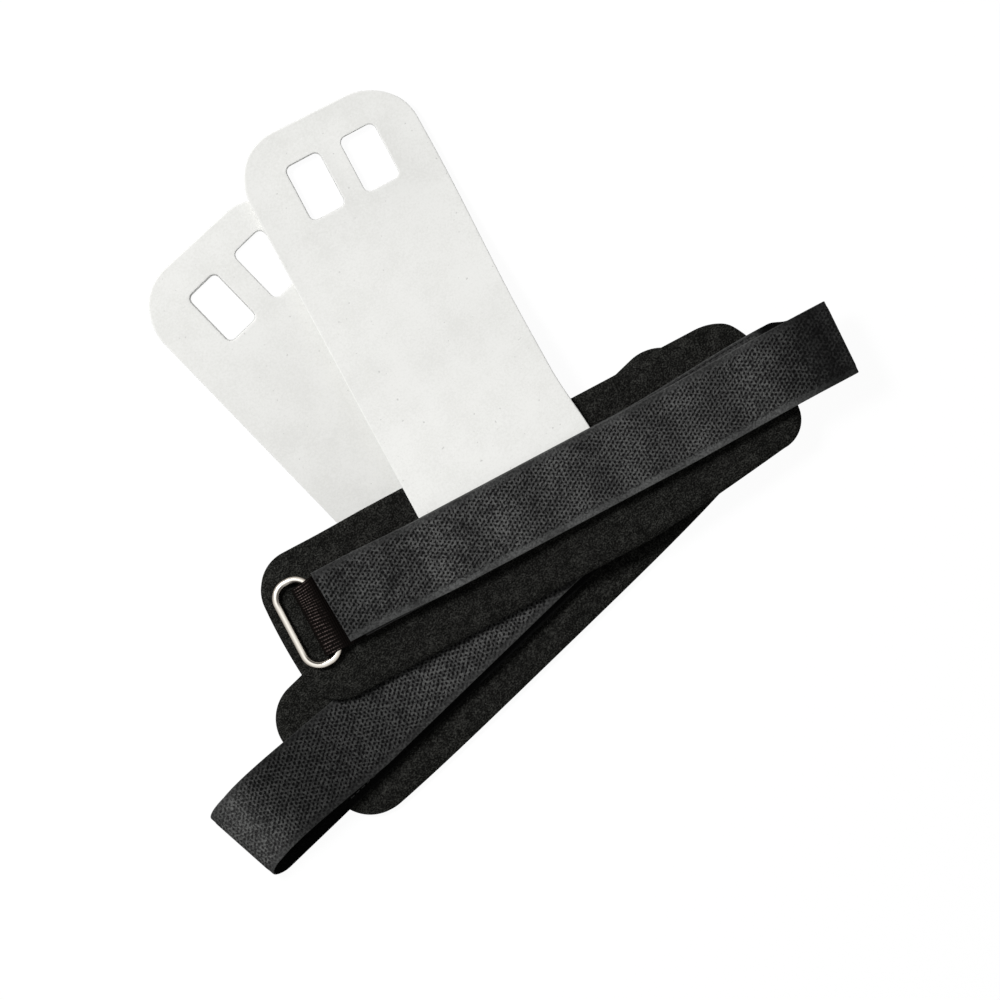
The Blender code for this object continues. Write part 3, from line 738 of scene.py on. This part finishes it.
def ribbed_webbing():
    """Brown-black webbing: a thin pale line on the crown of each rib, broken by fine cross threads. The
    mark's third value says how far the crowns are worn pale, which is most at the fold."""
    finish, shader, values = new_finish("ribbed_webbing")
    tape = values.node("ShaderNodeAttribute", {"attribute_name": "tape"}, output="Vector")
    along, across, worn = split(tape)
    rib = (across + KEEPER_WIDTH / 2) * (2 * math.pi * KEEPER_RIBS / KEEPER_WIDTH)
    hollows = values.math("COSINE", rib)
    cross_threads = values.math("SINE", along * (2 * math.pi / 0.0009))
    fuzz = noise(place_on_object(values), 0.0012, 3.0)
    light = worn * soft_step(fuzz - 0.50 * hollows + 0.12 * cross_threads, 0.72, 1.20)
    colour = mix(light, (0.0030, 0.0021, 0.0018, 1), (0.130, 0.100, 0.092, 1))
    normal = bump(0.5 * cross_threads + fuzz, 0.00012)
    feed(shader, {"Base Color": colour, "Roughness": 0.75, "Specular IOR Level": 0.03, "Normal": normal})
    return finish


def sewing_thread():
    """Black twisted thread: light and dark plies winding along it."""
    finish, shader, values = new_finish("sewing_thread")
    place = place_on_object(values)
    winding = {"Vector": place, "Scale": 900, "Distortion": 1.0}
    plies = values.node("ShaderNodeTexWave", {"bands_direction": "DIAGONAL"}, winding)
    colour = mix(plies * noise(place, 0.0015), (0.004, 0.004, 0.004, 1), (0.030, 0.030, 0.030, 1))
    normal = bump(plies, 0.00008)
    feed(shader, {"Base Color": colour, "Roughness": 0.6, "Specular IOR Level": 0.3, "Normal": normal})
    return finish


WEBBING, THREAD = ribbed_webbing(), sewing_thread()
for grip in GRIPS:
    points, tape = keeper_webbing(grip)
    faces = tube_faces(1, *points.shape[:2])
    keeper = add_piece(f"{grip.name}_keeper", grip.place(points), faces, [WEBBING], tape=tape)
    ends = grip.place([(RING_AXIS_X + way * KEEPER_HINGE, 0, RING_AXIS_Z) for way in (1, -1)])
    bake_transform(keeper)
    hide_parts(f"{grip.name}_ring_keeper")

    turns = np.arange(13)
    zigzag = np.column_stack([
        TACK_X + TACK_SWING / 2 * (-1.0) ** turns,
        RING_SHIFT[grip.name] + TACK_STEP * (turns - 6),
        np.full(13, KEEPER_UPPER + KEEPER_T / 2 + 0.0001),
    ])
    zigzag = grip.place(zigzag)
    tack = add_piece(f"{grip.name}_tack", *stitches(zigzag[:-1], zigzag[1:], 0.0001, THREAD_D / 2), [THREAD])
    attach(tack, f"{grip.name}_grip")
    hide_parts(f"{grip.name}_keeper_tack")


# The wire rings. Each is round nickel-plated wire bent to a long oval and polished, with one long leg in the
# keeper. It turns on that leg and lies tipped down on the pad.
RING_LENGTH = 0.0364
RING_REACH = 0.0136
RING_CORNER_R = 0.0062
RING_TILT = math.asin((RING_AXIS_Z - PAD_TOP - 0.00025 - WIRE_D / 2) / RING_REACH)


def ring_wire(grip):
    """A circle carried round an oval of four arcs and four straight legs, in a plane tipped about the leg.
    Returns points and for each point how far up and out on the wire it is, and how bent the wire is there."""
    half = (RING_LENGTH - WIRE_D) / 2
    low_x, high_x = RING_CORNER_R - RING_REACH, -RING_CORNER_R
    y = half - RING_CORNER_R
    outline = np.vstack([
        arc((high_x, -y), RING_CORNER_R, -90, 0),
        arc((high_x, y), RING_CORNER_R, 0, 90),
        arc((low_x, y), RING_CORNER_R, 90, 180),
        arc((low_x, -y), RING_CORNER_R, 180, 270),
    ])
    oval = evenly(outline, 240, closed=True)
    ahead = np.roll(oval, -1, axis=0) - np.roll(oval, 1, axis=0)
    ahead /= np.linalg.norm(ahead, axis=1)[:, None]
    outward = np.column_stack([ahead[:, 1], -ahead[:, 0]])
    turn = np.linspace(0, 2 * math.pi, 24, endpoint=False)
    flat = oval[:, None] + WIRE_D / 2 * np.cos(turn)[:, None] * outward[:, None]
    rise = np.broadcast_to(WIRE_D / 2 * np.sin(turn), flat.shape[:2])
    x = flat[..., 0] * math.cos(RING_TILT) - rise * math.sin(RING_TILT)
    z = flat[..., 0] * math.sin(RING_TILT) + rise * math.cos(RING_TILT)
    points = np.dstack([RING_AXIS_X + x, RING_SHIFT[grip.name] + flat[..., 1], RING_AXIS_Z + z])
    bend = np.linalg.norm(np.roll(ahead, -5, axis=0) - np.roll(ahead, 5, axis=0), axis=1)
    wire = np.dstack(np.broadcast_arrays(np.sin(turn), np.cos(turn), (bend / bend.max())[:, None]))
    return np.concatenate([points, points[:1]]), np.concatenate([wire, wire[:1]])


def polished_nickel():
    """Bright plated wire with soft dull spots, tarnished brown down its sides, and a dark line along the
    inside of each bend."""
    finish, shader, values = new_finish("polished_nickel")
    place = place_on_object(values)
    wire = values.node("ShaderNodeAttribute", {"attribute_name": "wire"}, output="Vector")
    dull = soft_step(noise(place, 0.004, 3.0), 0.45, 0.75)
    up, out, bend = split(wire)
    crown = values.math("POWER", values.math("MAXIMUM", up, 0.0), 3.4)
    line = bend * (1 - soft_step(values.math("ABSOLUTE", out + 0.42), 0.10, 0.32))
    plated = mix(crown - 0.10 * dull, (0.22, 0.185, 0.15, 1), (0.87, 0.83, 0.76, 1))
    colour = mix(0.9 * line, plated, (0.04, 0.034, 0.028, 1))
    roughness = 0.24 + 0.08 * dull
    normal = bump(noise(place, 0.0005, 2.0), 0.00001)
    feed(shader, {"Base Color": colour, "Metallic": 1.0, "Roughness": roughness, "Normal": normal})
    return finish


NICKEL = polished_nickel()
for grip in GRIPS:
    points, wire = ring_wire(grip)
    quads = [face for face in tube_faces(1, *points.shape[:2]) if len(face) == 4]
    ring = add_piece(f"{grip.name}_ring", grip.place(points), quads, [NICKEL], wire=wire)
    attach(ring, f"{grip.name}_ring")
    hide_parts(f"{grip.name}_wire_ring")


# The strap bases. Each is loop tape with woven selvedges, laid over the keeper's end and the palm's tuck and
# sewn to the pad along both edges. It runs on past the pad's end to where the tape turns back.
STRAP_WIDTH = 0.0300
STRAP_SPREAD = {"lower": 1.050, "upper": 0.982}
STRAP_T = 0.0010
STRAP_ON_PAD = PAD_TOP + 0.00075
RAMP_CLEARANCE = 0.001
RAMP_LENGTH = 0.007
BASE_START = -0.07685
BASE_END = PAD_LENGTH / 2 + 0.002
BASE_SHIFT = {"lower": -0.0027, "upper": 0.0026}
BASE_DRIFT = {"lower": 0.0, "upper": 0.0031}
DRIFT_START = LEATHER_SHIFT + LEATHER_WRIST_W / 2 + RAMP_CLEARANCE + RAMP_LENGTH
TAIL_MIDDLE = 0.0096
TAIL_SHIFT = {"lower": -0.0003, "upper": 0.0034}
TAIL_SAG = {"lower": 0.0, "upper": 0.0011}
TAIL_BOW = {"lower": 0.0026, "upper": 0.0}
TAIL_BOW_LENGTH = 0.056
TAIL_BOW_LEAD = 0.0025
TAIL_LIFT = {"lower": 0.0023, "upper": -0.0013}
TAIL_LIFT_SPAN = {"lower": (0.004, 0.052), "upper": (0.008, 0.150)}
TAIL_LIFT_FADE = {"lower": 0.014, "upper": 0.045}
LOOP_HEIGHT = {"lower": 0.00075, "upper": STRAP_ON_PAD}
FOLD_REACH = {"lower": 0.0075, "upper": 0.0083}
FOLD_SHORT = {"lower": 0.0, "upper": 0.0009}
RUN_SHARE = 0.4
TURN = {"lower": (0.40, 1.0), "upper": (0.05, 0.25)}
SELVEDGE = 0.0026
SEAM_INSET = {"lower": 0.0028, "upper": 0.0009}
STITCH_PITCH = 0.0027
STITCH_LENGTH = 0.0019
PIT_ALONG = 0.00280
PIT_ACROSS = 0.00171
TAPE_PIT = (0.0070, 0.0070, 0.0070, 1)
TAPE_DARK = (0.030, 0.030, 0.030, 1)
TAPE_LIGHT = (0.122, 0.123, 0.120, 1)
TAPE_SELVEDGE = (0.110, 0.112, 0.110, 1)
WRIST_EDGE_PALE = {"lower": 0.30, "upper": 1.0}
FINGER_EDGE_PALE = {"lower": 0.15, "upper": 0.45}
BASE_PALE = {"lower": 0.10, "upper": 0.95}
INSIDE_PALE = 0.06
UNDERSIDE_PALE = 0.40


def tape_section():
    """Flat loop pile between two thinner selvedges with rounded edges."""
    across = np.concatenate([
        np.linspace(-0.5, -0.485, 6),
        np.linspace(-0.48, 0.48, 71),
        np.linspace(0.485, 0.5, 6),
    ])
    from_edge = (0.5 - np.abs(across)) * STRAP_WIDTH
    pile = 0.70 + 0.30 * smooth((from_edge - SELVEDGE + 0.0006) / 0.0012)
    rounded = np.sqrt(1 - (1 - np.clip(from_edge / 0.0004, 0, 1)) ** 2)
    return two_faces(across, pile * rounded)


def base_height(x):
    """The tape's middle: on the pad, and up a smooth ramp over the keeper's end and over the palm."""
    def ramp(outside):
        return smooth(1 - (outside - RAMP_CLEARANCE) / RAMP_LENGTH)

    over_keeper = (KEEPER_UPPER + KEEPER_T / 2 - PAD_TOP) * ramp(x - RING_AXIS_X - KEEPER_RUN)
    past_palm = np.abs(x - LEATHER_SHIFT) - LEATHER_WRIST_W / 2
    over_palm = (LEATHER_BASE + LEATHER_T - PAD_TOP) * ramp(past_palm)
    return STRAP_ON_PAD + np.maximum(over_keeper, over_palm)


def base_line(grip, x):
    """The tape's middle across the pad: straight as far as the palm, then drifting towards the fingers."""
    share = (x - DRIFT_START) / (BASE_END - DRIFT_START)
    return BASE_SHIFT[grip.name] + BASE_DRIFT[grip.name] * smooth(share)


def tail_line(grip, back):
    """The tail's middle across the pad, at a length back from the fold's axis: a slight sag between its ends,
    and a bow that starts a lead before the axis and is fullest a quarter of the way along."""
    share = np.clip((back + TAIL_BOW_LEAD) / (TAIL_BOW_LENGTH + TAIL_BOW_LEAD), 0, 1)
    bow = TAIL_BOW[grip.name] * np.sin(np.pi * np.sqrt(share))
    sag = TAIL_SAG[grip.name] * smooth((back - 0.010) / 0.070) * smooth((0.205 - back) / 0.045)
    return TAIL_SHIFT[grip.name] + bow - sag


def tail_height(grip, back):
    """The tail's middle above the pad: level, with a slow rise or dip between two lengths back."""
    near, far = TAIL_LIFT_SPAN[grip.name]
    fade = TAIL_LIFT_FADE[grip.name]
    return TAIL_MIDDLE + TAIL_LIFT[grip.name] * smooth((back - near) / fade) * smooth((far - back) / fade)


def fold_foot(grip):
    """Where the fold, half an ellipse, starts and ends along the strap. Its tip stops a little short of the
    half circle round the fold's axis."""
    tip = grip.fold_x + (TAIL_MIDDLE - LOOP_HEIGHT[grip.name]) / 2 - FOLD_SHORT[grip.name]
    return tip - FOLD_REACH[grip.name]


def turn_line(grip, share):
    """The tape's middle at a share of its way round from the pad's end to the tail: a smooth step across."""
    start, end = TURN[grip.name]
    from_y = base_line(grip, BASE_END)
    to_y = tail_line(grip, grip.fold_x - fold_foot(grip))
    return from_y + (to_y - from_y) * smooth((share - start) / (end - start))


def base_path(grip):
    """Along the pad, then a smooth sag to the foot of the fold."""
    x = np.linspace(BASE_START, BASE_END, 400)
    sewn = np.column_stack([x, base_line(grip, x), base_height(x)])
    share = np.linspace(0, 1, 80)[1:]
    free = np.column_stack([
        BASE_END + (fold_foot(grip) - BASE_END) * share,
        turn_line(grip, RUN_SHARE * share),
        STRAP_ON_PAD + (LOOP_HEIGHT[grip.name] - STRAP_ON_PAD) * smooth(share),
    ])
    return np.vstack([sewn, free])


def seam(grip, way):
    """A row of stitches at even steps along the base, near one edge."""
    count = int((PAD_LENGTH / 2 - 0.006 - BASE_START) / STITCH_PITCH)
    start = BASE_START + 0.003 + STITCH_PITCH * np.arange(count)
    offset = way * (STRAP_WIDTH / 2 * STRAP_SPREAD[grip.name] - SEAM_INSET[grip.name])
    on_tape = 0.35 * STRAP_T + THREAD_D / 4
    ends = [
        np.column_stack([x, base_line(grip, x) + offset, base_height(x) + on_tape])
        for x in (start, start + STITCH_LENGTH)
    ]
    return stitches(grip.place(ends[0]), grip.place(ends[1]), 0.0001, THREAD_D / 2)


def loop_tape():
    """Black loop tape: small dark pits in staggered rows among pale strands of tangled loops, uneven and
    dusty, and plain selvedges with a thin pale edge. The pits are where three sets of waves crossing at 60
    degrees meet. The marks say how pale the tape has worn at each place, how pale its two selvedges are and
    how flat the loops are pressed."""
    finish, shader, values = new_finish("loop_tape")
    tape = values.node("ShaderNodeAttribute", {"attribute_name": "tape"}, output="Vector")
    edges = values.node("ShaderNodeAttribute", {"attribute_name": "edges"}, output="Vector")
    place = place_on_object(values)
    along, across, pale = split(tape)
    low_pale, high_pale, pressed = split(edges)
    row = (2 * math.pi / PIT_ALONG) * (along + 0.0016 * noise(place, 0.0030, 2.0))
    column = (2 * math.pi / PIT_ACROSS) * (across + 0.0012 * noise(tape, 0.0030, 2.0))
    one, other, level = (values.math("COSINE", wave) for wave in (row - column, row + column, 2 * row))
    tufts = noise(place, 0.0008, 2.0, 0.6)
    dust = noise(place, 0.006, 3.0)
    lattice = 0.20 * one + 0.48 * other + 0.30 * level
    pits = soft_step(lattice + 0.5 * (0.5 - dust) + 1.1 * (0.5 - tufts), 0.02, 0.46)
    pits = pits * (1 - pressed)
    strands = soft_step(tufts + 0.25 * (dust - 0.5), 0.34, 0.76)
    pile = mix(pits, mix(strands, TAPE_DARK, TAPE_LIGHT), TAPE_PIT)

    from_middle = values.math("ABSOLUTE", across)
    edge_pale = low_pale + soft_step(across, -0.002, 0.002) * (high_pale - low_pale)
    inner = STRAP_WIDTH / 2 - SELVEDGE
    ragged = from_middle + 0.0009 * edge_pale + 0.0032 * (tufts - 0.5)
    selvedge = soft_step(ragged, inner - 0.0002, inner + 0.0014) * (0.5 + 0.5 * edge_pale)
    border = soft_step(from_middle, STRAP_WIDTH / 2 - 0.0005, STRAP_WIDTH / 2 - 0.0002)
    plain = mix(soft_step(tufts, 0.20, 0.80) * edge_pale, TAPE_DARK, TAPE_SELVEDGE)
    colour = mix((0.15 + 0.30 * edge_pale) * border, mix(selvedge, pile, plain), TAPE_LIGHT)
    colour = scale(colour, pale)
    normal = bump((1 - pits) * (1 - selvedge) + 0.3 * tufts, 0.0003)
    feed(shader, {"Base Color": colour, "Roughness": 0.85, "Specular IOR Level": 0.03, "Normal": normal})
    return finish


def strap_band(grip, path):
    """The tape along a path at the grip's width. Its place on the tape is mirrored with the hand, as the
    weave isn't. The second mark is how pale the two selvedges are and, at first 0, how flat the loops are
    pressed."""
    spread = STRAP_SPREAD[grip.name]
    points, tape = band(path, np.full(len(path), STRAP_WIDTH * spread), SECTION, STRAP_T)
    tape[..., 1] *= grip.hand / spread
    pale = [WRIST_EDGE_PALE[grip.name], FINGER_EDGE_PALE[grip.name]][:: int(grip.hand)]
    return points, {"tape": tape, "edges": np.tile([*pale, 0.0], (*tape.shape[:2], 1))}


TAPE = loop_tape()
SECTION = tape_section()
for grip in GRIPS:
    body = f"{grip.name}_grip"
    path = with_fine_ends(base_path(grip), 320)
    points, marks = strap_band(grip, path)
    to_fold = smooth((points[..., 0] - BASE_END) / 0.006 + 1)
    marks["tape"][..., 2] = BASE_PALE[grip.name] + (INSIDE_PALE - BASE_PALE[grip.name]) * to_fold
    faces = tube_faces(1, *points.shape[:2])
    base = add_piece(f"{grip.name}_base", grip.place(points), faces, [TAPE], **marks)
    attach(base, body)
    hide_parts(f"{grip.name}_strap_base")

    for row, way in (("finger_seam", 1), ("wrist_seam", -1)):
        sewn = add_piece(f"{grip.name}_{row}_stitches", *seam(grip, way), [THREAD])
        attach(sewn, body)
        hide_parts(f"{grip.name}_{row}")


# The strap tails. The same tape turns back past the pad and lies over the base to its cut end, which is a
# little askew. A tail peels open at the fold, so the turn bends between the grip and the tail. Use has worn
# the tape pale in places, and winding has left faint bands across the upper one.
TAIL_END = -PAD_LENGTH / 2 + 0.0213
TAIL_SKEW = 0.05
FOLD_SKEW = {"lower": 0.080, "upper": 0.032}
FOLD_PRESSED = {"lower": 0.35, "upper": 0.45}
PALE_PLACES = {
    "lower": (0.056, 0.066, 0.080, 0.092, 0.100, 0.116, 0.121, 0.128, 0.132, 0.137, 0.141),
    "upper": (-0.056, -0.046, 0.102, 0.108, 0.112, 0.116, 0.120, 0.124, 0.128, 0.131),
}
PALE_SHARES = {
    "lower": (0.92, 0.66, 0.64, 0.55, 0.45, 0.45, 0.58, 0.90, 1.15, 1.25, 1.10),
    "upper": (0.78, 1.00, 0.98, 0.78, 0.60, 0.34, 0.20, 0.16, 0.34, 0.55),
}
WOUND_BANDS = {"lower": 0.0, "upper": 0.17}
WOUND_PITCH = 0.0265
WOUND_START = -0.012


def tail_path(grip):
    """Half an ellipse up from the foot of the fold, then the tail along its line and height."""
    foot = fold_foot(grip)
    turn = np.radians(np.linspace(-90, 90, 90))
    fold = np.column_stack([
        foot + FOLD_REACH[grip.name] * np.cos(turn),
        turn_line(grip, np.linspace(RUN_SHARE, 1, 90)),
        grip.fold_z + (TAIL_MIDDLE - grip.fold_z) * np.sin(turn),
    ])
    x = np.linspace(foot, TAIL_END, 500)[1:]
    back = grip.fold_x - x
    tail = np.column_stack([x, tail_line(grip, back), tail_height(grip, back)])
    return np.vstack([fold, tail])


def worn_pale(grip, x):
    """How pale the tape has worn: shares at places along it, with lines between, and a wave for the bands."""
    shares = np.interp(x, PALE_PLACES[grip.name], PALE_SHARES[grip.name])
    return shares * (1 + WOUND_BANDS[grip.name] * np.cos(2 * np.pi * (x - WOUND_START) / WOUND_PITCH))


for grip in GRIPS:
    path = with_fine_ends(tail_path(grip), 420)
    points, marks = strap_band(grip, path)
    near_end = smooth(1 - (points[..., 0] - TAIL_END) / 0.020)
    near_tip = smooth((points[..., 0] - fold_foot(grip)) / FOLD_REACH[grip.name])
    askew = FOLD_SKEW[grip.name] * near_tip - TAIL_SKEW * near_end
    points[..., 0] += askew * STRAP_WIDTH * SECTION[:, 0]
    past_fold = smooth((grip.fold_x - 0.020 - points[..., 0]) / 0.030)
    underside = INSIDE_PALE + (UNDERSIDE_PALE - INSIDE_PALE) * past_fold
    marks["tape"][..., 2] = np.where(SECTION[:, 1] > 0, underside, worn_pale(grip, points[..., 0]))
    near_fold = smooth((points[..., 0] - fold_foot(grip)) / 0.012 + 1)
    marks["edges"][..., 2] = FOLD_PRESSED[grip.name] * near_fold
    faces = tube_faces(1, *points.shape[:2])
    tail = add_piece(f"{grip.name}_tail", grip.place(points), faces, [TAPE], **marks)
    foot = LOOP_HEIGHT[grip.name] + STRAP_T / 2
    head = TAIL_MIDDLE + min(TAIL_LIFT[grip.name], 0.0) - STRAP_T / 2
    ends = grip.place([(grip.fold_x, 0, foot), (grip.fold_x, 0, head)])
    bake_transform(tail)
    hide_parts(f"{grip.name}_strap_fold", f"{grip.name}_strap_tail")


# The hook patches. Each is a short black plastic hook tape sewn under the tail's end, with rows of small bent
# hooks that grip the loops of the base.
HOOK_WIDTH = 0.025
HOOK_LENGTH = 0.050
HOOK_START = TAIL_END + 0.0015
HOOK_BOTTOM = TAIL_MIDDLE - STRAP_T / 2 - 0.00095
HOOK_T = 0.00095
HOOK_ROWS = 20
HOOK_COLUMNS = 40


def hook_tape(grip):
    """A thin tape with rounded edges under the tail."""
    height = HOOK_BOTTOM + HOOK_T / 2
    ends = np.array([(HOOK_START, 0, height), (HOOK_START + HOOK_LENGTH, 0, height)])
    ends[:, 1] = TAIL_SHIFT[grip.name]
    path = with_fine_ends(ends, 60)
    across = np.linspace(-0.5, 0.5, 41)
    rounded = np.sqrt(1 - (1 - np.clip((0.5 - np.abs(across)) / 0.025, 0, 1)) ** 2)
    points, _ = band(path, np.full(len(path), HOOK_WIDTH), two_faces(across, 0.8 * rounded), HOOK_T)
    return points


def hooks(grip):
    """Thin tubes in staggered rows, each a stem that bends over to one side."""
    share = np.linspace(0, 1, 5)
    turn = np.radians(np.arange(4) * 90 + 45)
    row, column = np.meshgrid(np.arange(HOOK_ROWS), np.arange(HOOK_COLUMNS), indexing="ij")
    x = HOOK_START + HOOK_LENGTH * (column + 0.5 + 0.25 * (row % 2)) / (HOOK_COLUMNS + 1)
    y = TAIL_SHIFT[grip.name] + HOOK_WIDTH * ((row + 0.5) / HOOK_ROWS - 0.5)
    root = np.stack([x, y, np.full(x.shape, HOOK_BOTTOM + 0.0002)], axis=-1).reshape(-1, 1, 1, 3)
    bent = np.radians(200) * share**1.5
    stem = np.column_stack([0.0002 * (1 - np.cos(bent)), np.zeros(5), -0.00055 * np.sin(bent / 2)])
    thick = 0.0001 * (1 - 0.4 * share)
    ring = np.column_stack([np.cos(turn), np.sin(turn), np.zeros(4)])
    points = root + stem[:, None] + thick[:, None, None] * ring
    return points, tube_faces(*points.shape[:3])


def hook_plastic():
    """Dull black nylon with fine woven ribs."""
    finish, shader, values = new_finish("hook_plastic")
    place = place_on_object(values)
    spacing = {"Vector": place, "Scale": 320, "Distortion": 0.8}
    weave = values.node("ShaderNodeTexWave", {"bands_direction": "X"}, spacing)
    colour = mix(weave * noise(place, 0.002), (0.006, 0.006, 0.006, 1), (0.026, 0.026, 0.026, 1))
    normal = bump(weave, 0.0001)
    feed(shader, {"Base Color": colour, "Roughness": 0.5, "Specular IOR Level": 0.3, "Normal": normal})
    return finish


HOOKS = hook_plastic()
for grip in GRIPS:
    points = hook_tape(grip)
    patch = add_piece(f"{grip.name}_hook_tape", grip.place(points), tube_faces(1, *points.shape[:2]), [HOOKS])
    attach(patch, f"{grip.name}_tail")
    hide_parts(f"{grip.name}_hook_patch")
    points, faces = hooks(grip)
    bristles = add_piece(f"{grip.name}_hooks", grip.place(points), faces, [HOOKS])
    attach(bristles, f"{grip.name}_tail")
